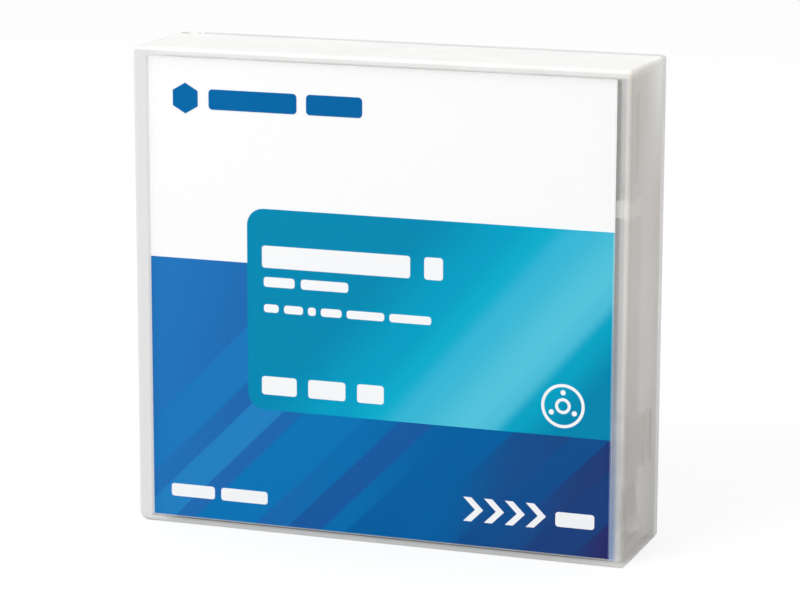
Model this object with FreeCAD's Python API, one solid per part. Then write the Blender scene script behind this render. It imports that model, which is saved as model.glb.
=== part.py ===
import FreeCAD, Part
import math
import os

# Half-inch data tape cartridge lying in its hinged library case, which stands upright.
# Row frame: X to the right, Y to the back, Z up; the origin is under the middle of the case.
#
# The case is drawn in a frame of its own: x to the right, y up, z towards the front cover.
# The cartridge is drawn flat on its underside: x to the right, y towards its leading edge, z up.
# Each has one placement that puts its pieces in the row frame. All sizes are millimetres.

V = FreeCAD.Vector

# ---- Library case -----------------------------------------------------------------------------
CASE_WIDTH = 117.0
CASE_HEIGHT = 111.0
CASE_DEPTH = 27.6
CASE_CORNER = 1.0            # radius of three corners in front view
FOOT_CORNER = 2.3            # radius of the fourth, below the hinge
COVER_PANEL = 1.4            # thickness of the cover's front panel
COVER_WALL = 1.3             # thickness of the cover's side walls
COVER_EDGE = 0.9             # rounding where the front panel meets the walls
COVER_INNER_CORNER = 0.5
BASE_PANEL = 1.4             # thickness of the back plate
LAP_GAP = 0.3                # gap between the cover's walls and the walls they slip over
SEAM_GAP = 0.15              # gap between the cover's rear edge and the base's rim
RIM_HEIGHT = 2.85            # height of the base's rim, flush with the cover's outside

HALF_WIDTH = CASE_WIDTH / 2
FRONT = CASE_DEPTH / 2
BACK = -CASE_DEPTH / 2
RIM_FRONT = BACK + RIM_HEIGHT
PANEL_BACK = FRONT - COVER_PANEL
FLOOR = BACK + BASE_PANEL    # inner face of the back plate

# ---- Cover hinge, on the left rear edge -----------------------------------------------------------
EAR_HALF = 2.8               # the ear is square about the hinge axis, with rounded rear corners
EAR_CORNER = 1.2
EAR_SWING = 3.8              # room round the axis that the ear turns in
HINGE_X = -HALF_WIDTH + EAR_HALF
HINGE_Z = BACK + EAR_HALF
HINGE_PIN_RADIUS = 1.2
HINGE_CLEARANCE = 0.06
HINGE_BOSS_RADIUS = 2.4
HINGE_BOSS_LENGTH = 8.0
HINGE_PIN_REACH = 1.5        # length of the pin that stands out of its boss

# ---- Nest walls of the base, which hold the cartridge ----------------------------------------------
NEST_INSET = COVER_WALL + LAP_GAP
NEST_WALL = 1.3
NEST_LEFT = -53.5            # outer face of the left nest wall
NEST_RIGHT = 55.2            # outer face of the right nest wall
NEST_RIGHT_WALL = 1.1
NEST_CORNER = 1.0
NEST_SIDE_TIP = 6.5          # front edge of the left and right nest walls
NEST_END_TIP = 9.0           # front edge of the top and bottom nest walls
HUB_BOSS = 19.6              # low round boss that stands in the cartridge's window
HUB_BOSS_HIGH = 0.7
SPINE_WALL = 1.3
SPINE_TIP = 11.4             # front edge of the spine, clear of the card as the cover swings

# ---- Latch on the right wall -------------------------------------------------------------------
LATCH_LOW = 20.0
LATCH_HIGH = 32.0
LATCH_SLIT = 0.6
LATCH_SLITS = (-0.5, -6.3)   # middles of the two slits
LATCH_BUMP = 0.95            # how far the cover's catch stands in from its wall
LATCH_LIP = 0.4              # how far the base's lip stands out from the nest

# ---- Card behind the cover -----------------------------------------------------------------------
CARD_LEFT = -55.5
CARD_RIGHT = 54.6
CARD_LOW = 1.45
CARD_TOP = 108.8
CARD_THICKNESS = 0.25
CARD_GAP = 0.12              # gap between the card and the panel
TAB_THICKNESS = 0.9
TAB_LEFT = 52.4              # tips of the two tabs on the right wall
TAB_HIGH = 80.4              # height of the upper tab on the right wall
TAB_TOP = 107.4              # tips of the two tabs on the top wall

# ---- Cartridge ---------------------------------------------------------------------------------
WIDTH = 105.4
LENGTH = 102.0
HEIGHT = 21.5
WALL = 1.6                   # side walls of the shell halves
PLATE = 1.5                  # top and bottom plates of the shell halves
SPLIT = HEIGHT / 2           # height of the joint between the halves
CORNER = 2.0
EDGE_BREAK = 0.5             # chamfer round the outer edges of both halves
KEY_CHAMFER = 4.0            # cut-off front right corner, so that it can't go in wrongly
SIDE = WIDTH / 2
END = LENGTH / 2
CEILING = HEIGHT - PLATE

CARTRIDGE_X = 1.0            # middle of the cartridge across the case
CARTRIDGE_GAP = 0.1          # gap between its underside and the back plate
CARTRIDGE_REST = 4.5         # height of its lower edge on the nest's ribs

# ---- Reel ------------------------------------------------------------------------------------
FLANGE_RADIUS = 48.0
FLANGE = 1.1
HUB_RADIUS = 22.0
HUB_BORE = 19.8
TAPE_RADIUS = 46.3
GUARD_IN = 49.3              # round walls beside the reel
GUARD_OUT = 50.5
TAPE_WIDTH = 12.65
FLANGE_LOW = 2.4             # underside of the lower flange
FLANGE_TOP = 16.5            # underside of the upper flange
WEB_HIGH = 4.4               # upper face of the hub's web, whose underside is level with the flange's
WINDOW_RADIUS = 21.6         # round window in the bottom shell
DRIVE_TEETH = 60             # below the hub's web
DRIVE_TOOTH = 1.5
DRIVE_IN = 17.0
DRIVE_OUT = 20.4
PLATE_IN = 8.8               # steel ring inside the drive teeth
PLATE_OUT = 15.8
LEG_CIRCLE = 17.6            # where the three release legs go through the hub
LEG_LONG = 2.4
LEG_WIDE = 2.8
LEG_GAP = 0.3
ARM_WIDE = 3.6               # arms that join the legs below the brake
ARM_HIGH = 1.4
ARM_BOSS = 6.0

# ---- Brake ------------------------------------------------------------------------------------
BRAKE_RING_IN = 13.2
BRAKE_RING_OUT = 16.4
BRAKE_TEETH_IN = BRAKE_RING_IN + 0.1
BRAKE_TEETH_OUT = BRAKE_RING_OUT - 0.1
BRAKE_SEAT = 7.0             # foot of the hub's brake teeth
BRAKE_TEETH = 24             # all round the brake; the hub has three short rows of the same pitch
BRAKE_TOOTH = 1.0
BRAKE_GAP = 0.1
BRAKE_DISC = 1.5
BRAKE_LIFT = 1.8             # travel that frees the reel
BRAKE_COIL = 7.3             # mean radius of the brake's spring
BRAKE_WIRE = 0.7
BOSS_RADIUS = 5.5
BOSS_TOP = 17.5
KEY_RIB = 1.6                # cross rib of the top shell that keeps the brake from turning

# ---- Access door and leader pin -----------------------------------------------------------------
DOOR_TRAVEL = 18.4
OPENING_REAR = 28.5
OPENING_FRONT = 48.6
OPENING_LOW = 1.9
OPENING_HIGH = HEIGHT - OPENING_LOW
SKIN = 0.8                   # thinned side wall that the door slides behind
DOOR_PANEL = 1.0
DOOR_CLEARANCE = 0.1
DOOR_COIL = 1.05             # mean radius of the door's spring
DOOR_WIRE = 0.3
DOOR_SPRING_X = -49.45
DOOR_SPRING_FOOT = -0.95
PIN_X = -46.8
PIN_Y = 38.0
PIN_FLANGE = 2.6
PIN_CORE = 1.1
PIN_END = 1.7                # from the cartridge's underside to the pin's end
PIN_FLANGE_HIGH = 1.2
SLEEVE_WALL = 0.8

# ---- Write-protect slider, in the rear edge ---------------------------------------------------------
SLIDER_WINDOW = (-46.0, -34.5)
SLIDER_KNOB = 5.6
SLIDER_LOW = 6.2
SLIDER_HIGH = 15.2

# ---- Memory card, in the other rear corner --------------------------------------------------------------
CHIP_LONG = 18.0
CHIP_WIDE = 8.0

# ---- Screws that hold the halves together, and cups for a drive's locating pins -------------------------
SCREWS = [(-47.4, -37.5), (47.4, -37.5), (47.4, 43.0), (-34.0, 46.9)]
SCREW_HEAD = 2.0
SCREW_HEAD_HIGH = 1.2
SCREW_SHANK = 1.0
SCREW_SUNK = 0.3             # how far the head lies below the underside
SCREW_END = 14.8
SCREW_HOLE_END = 18.0
POST_HALF = 2.7              # half width of the square screw posts
CUPS = [(-38.0, -42.5), (38.5, 43.0)]
CUP_RADIUS = 3.0

CASE_SEAT = FreeCAD.Placement(V(0, 0, 0), FreeCAD.Rotation(V(1, 0, 0), 90))
CARTRIDGE_SEAT = FreeCAD.Placement(
    V(CARTRIDGE_X, -FLOOR - CARTRIDGE_GAP, CARTRIDGE_REST + END),
    FreeCAD.Rotation(V(0, 1, -1), 180),
)


# ---- Drawing helpers ------------------------------------------------------------------------------
TURNS = {
    "z": FreeCAD.Rotation(),
    "x": FreeCAD.Rotation(V(1, 1, 1), 120),
    "y": FreeCAD.Rotation(V(1, 1, 1), 240),
}


def outline(corners):
    """Closed wire in the XY plane through (x, y, radius) corners, with an arc at each rounded one."""
    points = [V(x, y, 0) for x, y, _ in corners]
    ends = []
    edges = []
    for i, (_, _, radius) in enumerate(corners):
        here = points[i]
        back = (points[i - 1] - here).normalize()
        ahead = (points[(i + 1) % len(points)] - here).normalize()
        if radius == 0:
            ends.append((here, here))
            continue
        half = back.getAngle(ahead) / 2
        start = here + back * (radius / math.tan(half))
        end = here + ahead * (radius / math.tan(half))
        inward = (back + ahead).normalize()
        middle = here + inward * (radius / math.sin(half) - radius)
        edges.append(Part.Arc(start, middle, end).toShape())
        ends.append((start, end))
    for i, (_, leave) in enumerate(ends):
        arrive = ends[(i + 1) % len(ends)][0]
        if leave.distanceToPoint(arrive) > 1e-6:
            edges.append(Part.LineSegment(leave, arrive).toShape())
    return Part.Wire(Part.__sortEdges__(edges))


def prism(corners, low, high, along="z"):
    """Outline raised from low to high. Corners are (x, y), (y, z) or (z, x) along z, x or y."""
    body = Part.Face(outline(corners)).extrude(V(0, 0, high - low))
    body.translate(V(0, 0, low))
    body.Placement = FreeCAD.Placement(V(0, 0, 0), TURNS[along]).multiply(body.Placement)
    return body


def rectangle(x_low, x_high, y_low, y_high, radius=0.0):
    """Corners of a rectangle, all with the same radius."""
    return [
        (x_low, y_low, radius),
        (x_high, y_low, radius),
        (x_high, y_high, radius),
        (x_low, y_high, radius),
    ]


def turned(profile):
    """Solid of revolution about Z from (radius, height) points."""
    points = [V(r, 0, z) for r, z in profile]
    wire = Part.makePolygon(points + points[:1])
    return Part.Face(wire).revolve(V(0, 0, 0), V(0, 0, 1), 360)


def ring(inner, outer, low, high):
    """Plain ring about Z."""
    return turned([(inner, low), (outer, low), (outer, high), (inner, high)])


def post(radius, low, high, x=0.0, y=0.0):
    """Round post along Z."""
    return Part.makeCylinder(radius, high - low, V(x, y, low))


def square_post(half, low, high):
    """Square post along Z."""
    return prism(rectangle(-half, half, -half, half), low, high)


def at(shape, x, y):
    """The shape, moved in plan."""
    moved = shape.copy()
    moved.translate(V(x, y, 0))
    return moved


def around(shape, count, phase=0.0):
    """Copies of a shape, evenly turned about Z."""
    copies = []
    for i in range(count):
        turn = shape.copy()
        turn.rotate(V(0, 0, 0), V(0, 0, 1), phase + 360.0 * i / count)
        copies.append(turn)
    return copies


def regular(radius, sides):
    """Corners of a regular polygon about the origin."""
    angles = [2 * math.pi * (i + 0.5) / sides for i in range(sides)]
    return [(radius * math.cos(a), radius * math.sin(a), 0) for a in angles]


TOOTH_ROOT = 0.34            # half widths of a tooth at its root and tip, as shares of the pitch
TOOTH_TIP = 0.13
TOOTH_SUNK = 0.2             # how far a tooth's foot reaches into what carries it


def face_teeth(inner, outer, root, tip, count, phase=0.0):
    """Ring of tapered teeth that stand from the height root to the height tip."""
    pitch = 2 * math.pi * inner / count
    root_half = TOOTH_ROOT * pitch
    tip_half = TOOTH_TIP * pitch
    sunk = root - math.copysign(TOOTH_SUNK, tip - root)
    tooth = prism(
        [(-root_half, sunk, 0), (root_half, sunk, 0), (root_half, root, 0), (tip_half, tip, 0),
         (-tip_half, tip, 0), (-root_half, root, 0)],
        inner, outer, "x",
    )
    return around(tooth, count, phase)


def coil(mean_radius, wire, length, turns, runs):
    """Compression spring of square wire along Z from 0 to length, in straight runs, so many a turn."""
    foot = 0.75 * wire
    rise = (length - 2 * foot) / (turns * runs)
    path = []
    for i in range(turns * runs + 1):
        angle = 2 * math.pi * i / runs
        path.append(V(mean_radius * math.cos(angle), mean_radius * math.sin(angle), foot + rise * i))
    ahead = path[1] - path[0]
    half = wire / 2
    section = outline(rectangle(-half, half, -half, half))
    section.Placement = FreeCAD.Placement(path[0], FreeCAD.Rotation(V(0, 0, 1), ahead))
    return Part.makePolygon(path).makePipeShell([section], True, False, 1)


# ---- Library case ------------------------------------------------------------------------------
def case_corners():
    """Front outline of the case."""
    return [
        (-HALF_WIDTH, 0, FOOT_CORNER), (HALF_WIDTH, 0, CASE_CORNER), (HALF_WIDTH, CASE_HEIGHT, CASE_CORNER),
        (-HALF_WIDTH, CASE_HEIGHT, CASE_CORNER),
    ]


def hinge_ears():
    """Ends of the cover's top and bottom walls that reach back to the hinge axis."""
    rear = HINGE_Z - EAR_HALF
    front = HINGE_Z + EAR_HALF
    left = HINGE_X - EAR_HALF
    right = HINGE_X + EAR_HALF
    corners = [(rear, left, EAR_CORNER), (rear, right, EAR_CORNER), (front, right, 0), (front, left, 0)]
    ear = prism(corners, CASE_HEIGHT - COVER_WALL, CASE_HEIGHT, "y")
    return [e.common(prism(case_corners(), BACK, FRONT)) for e in (ear, upside_down(ear))]


def hinge_holes():
    """Holes in the ears for the base's pins."""
    foot = V(HINGE_X, CASE_HEIGHT - 1.5 * COVER_WALL, HINGE_Z)
    hole = Part.makeCylinder(HINGE_PIN_RADIUS + HINGE_CLEARANCE, 2 * COVER_WALL, foot, V(0, 1, 0))
    return [hole, upside_down(hole)]


def upside_down(shape):
    """Mirror image of a case feature about the case's mid height."""
    return shape.mirror(V(0, CASE_HEIGHT / 2, 0), V(0, 1, 0))


def card_tabs():
    """Small tabs behind the card: two on the right wall, two on the top and two on the bottom wall."""
    front = PANEL_BACK - CARD_THICKNESS - 2 * CARD_GAP
    rear = front - TAB_THICKNESS
    wall = HALF_WIDTH - COVER_WALL + 0.2
    roof = CASE_HEIGHT - COVER_WALL + 0.2
    tabs = []
    for y in (CASE_HEIGHT - TAB_HIGH, TAB_HIGH):
        corners = [(TAB_LEFT, y - 1.55, 0), (wall, y - 2.15, 0), (wall, y + 2.15, 0), (TAB_LEFT, y + 1.55, 0)]
        tabs.append(prism(corners, rear, front))
    for x in (-33.0, 31.0):
        corners = [(x - 3.6, roof, 0), (x - 3.0, TAB_TOP, 0), (x + 3.0, TAB_TOP, 0), (x + 3.6, roof, 0)]
        tab = prism(corners, rear, front)
        tabs += [tab, upside_down(tab)]
    return tabs


def case_cover():
    """Clear front half: panel, three walls and two hinge ears. The spine side is open."""
    block = prism(case_corners(), RIM_FRONT + SEAM_GAP, FRONT)
    rim = [e for e in block.Edges if e.BoundBox.ZMin > FRONT - 0.01]
    block = block.makeFillet(COVER_EDGE, rim)
    left = -HALF_WIDTH - 1
    wall = HALF_WIDTH - COVER_WALL
    roof = CASE_HEIGHT - COVER_WALL
    hollow = prism(
        [(left, COVER_WALL, 0), (wall, COVER_WALL, COVER_INNER_CORNER), (wall, roof, COVER_INNER_CORNER),
         (left, roof, 0)],
        BACK, PANEL_BACK,
    )
    cover = block.cut(hollow).multiFuse(hinge_ears() + card_tabs() + [card_rib(), latch_bump()])
    return cover.cut(Part.makeCompound(hinge_holes() + latch_slits())).removeSplitter()


def card_rib():
    """Low rib on the right wall, from the upper card tab towards the seam."""
    wall = HALF_WIDTH - COVER_WALL
    return prism(
        [(PANEL_BACK + 0.2, wall + 0.2, 0), (-0.4, wall + 0.2, 0), (0.4, wall - 0.5, 0),
         (PANEL_BACK + 0.2, wall - 0.9, 0)],
        84.2, 85.5, "y",
    )


def latch_slits():
    """Two slits that make a springy strap of the right wall."""
    across = rectangle(HALF_WIDTH - 2 * COVER_WALL, HALF_WIDTH + 1, LATCH_LOW, LATCH_HIGH)
    return [prism(across, z - LATCH_SLIT / 2, z + LATCH_SLIT / 2) for z in LATCH_SLITS]


def latch_bump():
    """Rounded catch on the strap's inside."""
    wall = HALF_WIDTH - COVER_WALL
    return prism(
        [(-2.2, wall + 0.2, 0), (-2.2, wall, 0), (-3.0, wall - LATCH_BUMP, 0), (-3.8, wall - LATCH_BUMP, 0),
         (-4.6, wall, 0), (-4.6, wall + 0.2, 0)],
        LATCH_LOW + 2.5, LATCH_HIGH - 2.5, "y",
    )


def nest_pocket():
    """The space that the cartridge lies in, between the nest walls."""
    low = NEST_INSET + NEST_WALL
    return rectangle(NEST_LEFT + NEST_WALL, NEST_RIGHT - NEST_RIGHT_WALL, low, CASE_HEIGHT - low, 1.0)


def nest_windows():
    """Openings in the top nest wall, where the mould's cores come through."""
    low = CASE_HEIGHT - NEST_INSET - NEST_WALL - 0.5
    high = CASE_HEIGHT - NEST_INSET + 0.1
    windows = []
    for left, right, slant in ((-51.5, -40.0, 0.0), (-24.0, -4.7, 0.0), (-2.5, 24.0, 2.0)):
        corners = [(-10.0, left, 0), (-10.0, right + slant, 0), (1.0, right, 0), (1.0, left, 0)]
        windows.append(prism(corners, low, high, "y"))
    return windows


def nest_side_cuts():
    """Cuts in the right nest wall: by the door, for the latch, for the card rib, and at its ends."""
    x_low = NEST_RIGHT - NEST_RIGHT_WALL - 0.2
    x_high = NEST_RIGHT + 0.1
    tip = NEST_END_TIP + 1
    by_door = [(6.0, tip, 0), (6.0, 2.5, 0), (8.0, 1.0, 0), (19.0, 5.2, 0), (19.0, tip, 0)]
    return [
        prism(by_door, x_low, x_high, "x"),
        prism([(LATCH_LOW - 1, 0.8, 0), (LATCH_HIGH + 1, 0.8, 0), (LATCH_HIGH + 2, tip, 0),
               (LATCH_LOW - 1, tip, 0)], x_low, x_high, "x"),
        prism([(82.6, -1.2, 0), (87.2, -1.2, 0), (87.2, tip, 0), (82.6, tip, 0)], x_low, x_high, "x"),
    ]


def nest_ribs():
    """Short ribs that the cartridge's lower edge stands on and that centre its upper edge."""
    roof = CASE_HEIGHT - NEST_INSET - NEST_WALL
    top_edge = CARTRIDGE_REST + LENGTH + 0.3
    ribs = []
    for x in (-42.0, -14.5, 26.5, 42.0):
        profile = [(FLOOR - 0.2, x - 0.6, 0), (5.0, x - 0.6, 0), (7.0, x, 0), (5.0, x + 0.6, 0),
                   (FLOOR - 0.2, x + 0.6, 0)]
        ribs.append(prism(profile, NEST_INSET + NEST_WALL - 0.2, CARTRIDGE_REST, "y"))
        ribs.append(prism(profile, top_edge, roof + 0.2, "y"))
    return ribs


def spine():
    """Left wall of the base, with cross ribs that tie it to the nest and the two hinge bosses."""
    top = CASE_HEIGHT - NEST_INSET
    inner = -HALF_WIDTH + SPINE_WALL
    wall = prism(rectangle(-HALF_WIDTH, inner, NEST_INSET, top), FLOOR - 0.5, SPINE_TIP)
    pieces = [wall]
    for y in (CASE_HEIGHT / 4, CASE_HEIGHT / 2, 3 * CASE_HEIGHT / 4):
        tie = rectangle(inner - 0.2, NEST_LEFT + 0.2, y - 0.5, y + 0.5)
        pieces.append(prism(tie, FLOOR - 0.5, NEST_SIDE_TIP))
    foot = V(HINGE_X, top - HINGE_BOSS_LENGTH, HINGE_Z)
    boss = Part.makeCylinder(HINGE_BOSS_RADIUS, HINGE_BOSS_LENGTH, foot, V(0, 1, 0))
    foot = V(HINGE_X, top - 1.0, HINGE_Z)
    pin = Part.makeCylinder(HINGE_PIN_RADIUS, 1.0 + HINGE_PIN_REACH, foot, V(0, 1, 0))
    pieces += [boss, pin, upside_down(boss), upside_down(pin)]
    return pieces


def case_base():
    """Back half: plate, flush rim, nest walls that hold the cartridge, spine, hinge pins and hub boss."""
    outside = case_corners()
    plate = prism(outside, BACK, RIM_FRONT)
    ledge = HINGE_X + EAR_SWING
    ear_room = [
        prism(rectangle(-HALF_WIDTH - 1, ledge, CASE_HEIGHT - NEST_INSET, CASE_HEIGHT + 1), BACK - 1, FRONT),
        prism(rectangle(-HALF_WIDTH - 1, ledge, -1, NEST_INSET), BACK - 1, FRONT),
    ]
    plate = plate.cut(Part.makeCompound(ear_room))
    nest = prism(
        rectangle(NEST_LEFT, NEST_RIGHT, NEST_INSET, CASE_HEIGHT - NEST_INSET, NEST_CORNER),
        FLOOR - 0.5, NEST_END_TIP,
    )
    spared = [
        prism(rectangle(NEST_RIGHT - 3, NEST_RIGHT + 1, 0, CASE_HEIGHT), NEST_SIDE_TIP, FRONT),
        prism(rectangle(NEST_LEFT - 1, NEST_LEFT + 3, 0, CASE_HEIGHT), NEST_SIDE_TIP, FRONT),
    ]
    nest = nest.cut(Part.makeCompound(spared))
    base = plate.multiFuse([nest] + spine())
    base = base.cut(prism(nest_pocket(), FLOOR, FRONT + 1))
    windows = nest_windows()
    cuts = windows + [upside_down(w) for w in windows] + nest_side_cuts()
    base = base.cut(Part.makeCompound(cuts))
    root = NEST_RIGHT - 0.2
    edge = NEST_RIGHT + LATCH_LIP
    lip = [(0.7, root, 0), (0.3, edge, 0), (-0.5, edge, 0), (-0.9, root, 0)]
    lip = prism(lip, LATCH_LOW, LATCH_HIGH, "y")
    hub_boss = post(HUB_BOSS, FLOOR - 0.2, FLOOR + HUB_BOSS_HIGH, CARTRIDGE_X, CARTRIDGE_REST + END)
    base = base.multiFuse([lip, hub_boss] + nest_ribs())
    return base.common(prism(outside, BACK, FRONT)).removeSplitter()


def insert_card():
    """Printed card that slips in behind the cover's front panel."""
    front = PANEL_BACK - CARD_GAP
    return prism(rectangle(CARD_LEFT, CARD_RIGHT, CARD_LOW, CARD_TOP), front - CARD_THICKNESS, front)


# ---- Cartridge shell ------------------------------------------------------------------------------
def shell_corners(inset=0.0):
    """Plan outline of the shell, drawn in by an inset, with its key corner cut off."""
    side = SIDE - inset
    end = END - inset
    radius = CORNER if inset == 0 else 0.0
    cut = KEY_CHAMFER - 0.59 * inset
    return [
        (-side, -end, radius), (side, -end, radius), (side, end - cut, 0), (side - cut, end, 0),
        (-side, end, radius),
    ]


def grip_notches(low, high):
    """Notches in both sides, which a loader's fingers take hold of."""
    notch = [(-SIDE - 1, -31.0, 0), (-SIDE + 1.2, -31.0, 0), (-SIDE + 2.0, -30.0, 0),
             (-SIDE + 2.0, -25.0, 0), (-SIDE + 1.2, -24.0, 0), (-SIDE - 1, -24.0, 0)]
    left = prism(notch, low, high)
    return [left, left.mirror(V(0, 0, 0), V(1, 0, 0))]


def grip_pads(low, high):
    """Thicker wall behind each grip notch."""
    left = prism(rectangle(-SIDE + 0.5, -SIDE + 3.4, -32.6, -22.4), low, high)
    return [left, left.mirror(V(0, 0, 0), V(1, 0, 0))]


def reel_guard(low, high):
    """Round wall beside the reel in three of the corners. The fourth is open for the tape."""
    wall = ring(GUARD_IN, GUARD_OUT, low, high)
    reach = SIDE - 0.5
    corner = rectangle(20.0, reach, 20.0, END - 0.5)
    sectors = [prism([(x * a, y * b, 0) for x, y, _ in corner], low, high)
               for a, b in ((1, 1), (1, -1), (-1, -1))]
    return [wall.common(sector) for sector in sectors]


def pin_socket(low, high):
    """Open socket that the leader pin's flange stands in. It is open towards the door."""
    radius = PIN_FLANGE + 0.25
    block = prism(rectangle(-2.0, radius + 1.1, -radius - 1.1, radius + 1.1), low, high)
    mouth = prism(rectangle(-3.0, 0, -radius, radius), low - 1, high + 1)
    return at(block.cut(mouth.fuse(post(radius, low - 1, high + 1))), PIN_X, PIN_Y)


def door_rail(low, high):
    """Rail inside the door, which keeps it against the shell's side wall."""
    inner = -SIDE + SKIN + DOOR_PANEL + 2 * DOOR_CLEARANCE
    return prism(rectangle(inner, inner + 0.8, 7.0, 34.0), low, high)


def door_cuts():
    """The access opening, and the pocket behind the thinned wall that the door slides into."""
    opening = prism(rectangle(-SIDE - 1, -SIDE + WALL + 0.1, OPENING_REAR, OPENING_FRONT),
                    OPENING_LOW, OPENING_HIGH)
    pocket = prism(rectangle(-SIDE + SKIN, -SIDE + WALL + 0.1, 7.5, OPENING_REAR + 0.1), PLATE, CEILING)
    return [opening, pocket]


def slider_window():
    """Window for the write-protect slider's knob, through the rear wall of both halves."""
    left, right = SLIDER_WINDOW
    low = SLIDER_LOW - 0.15
    high = SLIDER_HIGH + 0.15
    corners = [(low, left, 0), (low, right, 0), (high, right, 0), (high, left, 0)]
    return prism(corners, -END - 1, -END + WALL + 0.1, "y")


def rear_label_recess():
    """Shallow recess for a label along the rear edge."""
    corners = [(2.6, -31.0, 0), (2.6, 48.0, 0), (HEIGHT - 2.6, 48.0, 0), (HEIGHT - 2.6, -31.0, 0)]
    return prism(corners, -END - 1, -END + 0.4, "y")


def slider_rail(low, high):
    """Rail that holds the write-protect slider against the rear wall."""
    return prism(rectangle(-48.6, -32.8, -END + WALL + 1.2, -END + WALL + 2.0), low, high)


def shell_block(low, high, edge):
    """Outer block of a shell half, with its outer edge broken all round."""
    block = prism(shell_corners(), low, high)
    boxes = [(e, e.BoundBox) for e in block.Edges]
    rim = [e for e, box in boxes if abs(box.ZMin - edge) < 0.01 and abs(box.ZMax - edge) < 0.01]
    return block.makeChamfer(EDGE_BREAK, rim)


def shell_bottom():
    """Lower half: hub window and its rim, screw posts, locating cups, door rail, pin socket, chip seat."""
    shell = shell_block(0, SPLIT, 0).cut(prism(shell_corners(WALL), PLATE, SPLIT + 1))
    inside = PLATE - 0.3
    added = [at(square_post(POST_HALF, inside, SPLIT), x, y) for x, y in SCREWS]
    added += [at(square_post(CUP_RADIUS + 1.3, inside, 4.9), x, y) for x, y in CUPS]
    added += reel_guard(inside, SPLIT - 1.5) + grip_pads(inside, SPLIT)
    added += [door_rail(inside, 3.4), pin_socket(inside, 3.4), slider_rail(inside, 5.6)]
    added.append(prism(rectangle(-SIDE + WALL + 0.05, -48.6, -2.4, -1.0), inside, 12.2))
    added.append(prism(rectangle(-41.3, -40.4, END - 4.4, END - WALL + 0.2), inside, SPLIT))
    cradle = [(-49.6, inside - 0.1, 0), (-41.6, inside - 0.1, 0), (-49.6, 9.1, 0)]
    added += [prism(cradle, x, x + 1.0, "x") for x in (31.6, 47.2)]
    shell = shell.multiFuse(added)
    removed = [post(WINDOW_RADIUS, -1, 5), slider_window(), rear_label_recess()] + door_cuts()
    removed += grip_notches(-1, SPLIT + 1)
    removed += [at(hole, x, y) for x, y in SCREWS for hole in screw_holes()]
    removed += [post(CUP_RADIUS, -1, 3.6, x, y) for x, y in CUPS]
    return shell.cut(Part.makeCompound(removed)).removeSplitter()


def brake_key(width, reach, low, high):
    """Upright cross that keys the brake to the shell."""
    bar = prism(rectangle(-reach, reach, -width / 2, width / 2), low, high)
    return around(bar, 4)[:2]


def shell_top():
    """Upper half: screw bosses, brake key, spring seat, door rail, pin socket, label and grip recesses."""
    shell = shell_block(SPLIT, HEIGHT, HEIGHT).cut(prism(shell_corners(WALL), SPLIT - 1, CEILING))
    inside = CEILING + 0.3
    added = brake_key(KEY_RIB, 3.9, BOSS_TOP - 4.5, inside)
    added += [at(square_post(POST_HALF, SPLIT, inside), x, y) for x, y in SCREWS]
    added += grip_pads(SPLIT, inside)
    added += [door_rail(HEIGHT - 3.4, inside), pin_socket(HEIGHT - 3.4, inside), slider_rail(15.9, inside)]
    shell = shell.multiFuse(added)
    removed = [slider_window(), rear_label_recess()] + door_cuts() + grip_notches(SPLIT - 1, HEIGHT + 1)
    removed += [at(screw_holes()[1], x, y) for x, y in SCREWS]
    removed.append(prism(rectangle(-40.0, 40.0, -46.0, 6.0, 3.0), HEIGHT - 0.3, HEIGHT + 1))
    removed.append(prism([(-5.0, 36.0, 0.5), (5.0, 36.0, 0.5), (0.0, 45.0, 0.5)], HEIGHT - 0.3, HEIGHT + 1))
    for i in range(6):
        groove = prism(rectangle(42.6, 50.4, -16.0 + 2.4 * i, -14.9 + 2.4 * i), HEIGHT - 0.4, HEIGHT + 1)
        removed += [groove, groove.mirror(V(0, 0, 0), V(1, 0, 0))]
    return shell.cut(Part.makeCompound(removed)).removeSplitter()


def screw_holes():
    """Well for a screw's head, and the hole for its shank. Few flats stand in for each circle."""
    seat = SCREW_SUNK + SCREW_HEAD_HIGH
    well = prism(regular(SCREW_HEAD + 0.15, 16), -1, seat)
    return [well, prism(regular(SCREW_SHANK + 0.05, 8), seat - 0.5, SCREW_HOLE_END)]


def shell_screws():
    """Four screws, put in from the underside: flat heads and plain shanks."""
    seat = SCREW_SUNK + SCREW_HEAD_HIGH
    head = prism(regular(SCREW_HEAD, 16), SCREW_SUNK, seat)
    screw = head.fuse(prism(regular(SCREW_SHANK, 8), seat - 0.2, SCREW_END)).removeSplitter()
    return Part.makeCompound([at(screw, x, y) for x, y in SCREWS])


# ---- Access door and leader pin -------------------------------------------------------------------
def access_door():
    """Sliding door: thin panel, a tab that the drive pushes back, and the lug its spring bears on."""
    outer = -SIDE + SKIN + DOOR_CLEARANCE
    inner = outer + DOOR_PANEL
    rear = OPENING_REAR - 2.0
    panel = prism(rectangle(outer, inner, rear, OPENING_FRONT - 0.1), OPENING_LOW + 0.1, OPENING_HIGH - 0.1)
    front = OPENING_FRONT - 0.2
    tab = [(outer - 0.6, front - 1.0, 0), (outer + 0.2, front - 1.3, 0), (outer + 0.2, front, 0),
           (outer - 0.6, front, 0)]
    tab = prism(tab, 5.0, HEIGHT - 5.0)
    lug = [(inner - 0.2, rear, 0), (-48.2, rear, 0), (-48.2, rear + 1.2, 0), (inner - 0.2, rear + 2.4, 0)]
    lug = prism(lug, 8.0, HEIGHT - 8.0)
    return panel.multiFuse([tab, lug]).removeSplitter()


def door_spring():
    """Compression spring between the shell's post and the door's lug."""
    spring = coil(DOOR_COIL, DOOR_WIRE, OPENING_REAR - 2.05 - DOOR_SPRING_FOOT, 8, 6)
    seat = V(DOOR_SPRING_X, DOOR_SPRING_FOOT, SPLIT)
    spring.Placement = FreeCAD.Placement(seat, FreeCAD.Rotation(V(1, 0, 0), -90))
    return spring


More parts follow.
